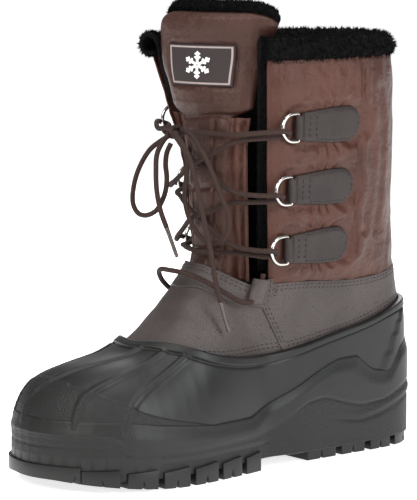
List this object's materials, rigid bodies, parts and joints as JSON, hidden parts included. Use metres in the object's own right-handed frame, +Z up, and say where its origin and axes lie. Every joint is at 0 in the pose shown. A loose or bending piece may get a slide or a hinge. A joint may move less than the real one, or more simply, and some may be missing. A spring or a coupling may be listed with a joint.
{
  "type": "insulated boot",
  "caption": "Left insulated field boot: a moulded rubber shell on a lugged sole, a nylon shaft with a fleece lining, a padded tongue and a lace through D-rings.",
  "frame": {"origin": "under the middle of the boot's own box, on the plane that the tread stands on", "axes": "-Y to the toe, +Y to the heel, +X to the outer (lateral) side of a left foot, +Z up the leg"},
  "size_m": [0.1244, 0.3238, 0.324],
  "materials": {
    "outsole_rubber": "moulded black rubber, fine matte texture",
    "shell_rubber": "moulded charcoal rubber with a soft sheen",
    "filler_foam": "closed-cell foam",
    "board": "pressed fibre board",
    "fleece": "black pile fleece",
    "felt": "needled felt",
    "upper_leather": "grey-brown coated leather with a fine grain",
    "tab_leather": "grey-brown coated leather, cut edges, stitched",
    "shaft_nylon": "brown woven nylon with a satin sheen",
    "tongue_nylon": "mauve-brown woven nylon",
    "wadding": "polyester wadding",
    "label_fabric": "soft moulded label with a raised frame",
    "label_print": "white raised print",
    "ring_nickel": "nickel plated steel wire",
    "lace": "round braided polyester",
    "lace_tip": "shrunk clear-coated tip"
  },
  "bodies": {
    "boot": {"outsole": "outsole_rubber", "rubber_shell": "shell_rubber", "sole_filler": "filler_foam", "lasting_board": "board", "foot_lining": "fleece", "shaft_lining": "fleece", "tongue_lining": "fleece", "insole": "felt", "vamp": "upper_leather", "throat_band": "upper_leather", "quarter_lateral": "upper_leather", "quarter_medial": "upper_leather", "lace_sleeve_lateral": "upper_leather", "lace_sleeve_medial": "upper_leather", "ring_tab_lateral_1": "tab_leather", "ring_tab_lateral_2": "tab_leather", "ring_tab_lateral_3": "tab_leather", "ring_tab_medial_1": "tab_leather", "ring_tab_medial_2": "tab_leather", "ring_tab_medial_3": "tab_leather", "shaft_nylon": "shaft_nylon", "tongue_face": "tongue_nylon", "gusset_lateral": "tongue_nylon", "gusset_medial": "tongue_nylon", "shaft_wadding": "wadding", "tongue_wadding": "wadding", "lace_throat_run": "lace", "lace_turn_lateral_1": "lace", "lace_turn_lateral_2": "lace", "lace_turn_lateral_3": "lace", "lace_turn_medial_1": "lace", "lace_turn_medial_2": "lace", "lace_turn_medial_3": "lace", "lace_knot": "lace", "bow_loop_medial": "lace", "bow_loop_lateral": "lace", "lace_end_lateral": "lace", "lace_end_medial": "lace", "aglet_lateral": "lace_tip", "aglet_medial": "lace_tip"},
    "tongue_flap": {"flap_face": "tongue_nylon", "flap_wadding": "wadding", "flap_lining": "fleece", "tongue_label": "label_fabric", "label_motif": "label_print"},
    "ring_lateral_1": {"d_ring_lateral_1": "ring_nickel"},
    "ring_lateral_2": {"d_ring_lateral_2": "ring_nickel"},
    "ring_lateral_3": {"d_ring_lateral_3": "ring_nickel"},
    "ring_medial_1": {"d_ring_medial_1": "ring_nickel"},
    "ring_medial_2": {"d_ring_medial_2": "ring_nickel"},
    "ring_medial_3": {"d_ring_medial_3": "ring_nickel"}
  },
  "joints": [
    {"name": "tongue_fold", "type": "hinge", "parent": "boot", "child": "tongue_flap", "pos_m": [0, -0.0154, 0.249], "axis": [1, 0, 0], "range_deg": [0, 50], "stiffness_Nm_per_rad": 0.08},
    {"name": "ring_lateral_1_swing", "type": "hinge", "parent": "boot", "child": "ring_lateral_1", "pos_m": [0.05659, 0.02693, 0.23939], "axis": [0, 0, 1], "range_deg": [0, 45], "deforming": ["lace_turn_lateral_1"]},
    {"name": "ring_lateral_2_swing", "type": "hinge", "parent": "boot", "child": "ring_lateral_2", "pos_m": [0.05364, 0.0233, 0.19587], "axis": [0, 0, 1], "range_deg": [0, 45], "deforming": ["lace_turn_lateral_2"]},
    {"name": "ring_lateral_3_swing", "type": "hinge", "parent": "boot", "child": "ring_lateral_3", "pos_m": [0.0501, 0.02285, 0.15382], "axis": [0, 0, 1], "range_deg": [0, 45], "deforming": ["lace_turn_lateral_3"]},
    {"name": "ring_medial_1_swing", "type": "hinge", "parent": "boot", "child": "ring_medial_1", "pos_m": [-0.05511, 0.00981, 0.24025], "axis": [0, 0, -1], "range_deg": [0, 45], "deforming": ["lace_turn_medial_1"]},
    {"name": "ring_medial_2_swing", "type": "hinge", "parent": "boot", "child": "ring_medial_2", "pos_m": [-0.05058, 0.02054, 0.19629], "axis": [0, 0, -1], "range_deg": [0, 45], "deforming": ["lace_turn_medial_2"]},
    {"name": "ring_medial_3_swing", "type": "hinge", "parent": "boot", "child": "ring_medial_3", "pos_m": [-0.04715, 0.02506, 0.15413], "axis": [0, 0, -1], "range_deg": [0, 45], "deforming": ["lace_turn_medial_3"]}
  ]
}
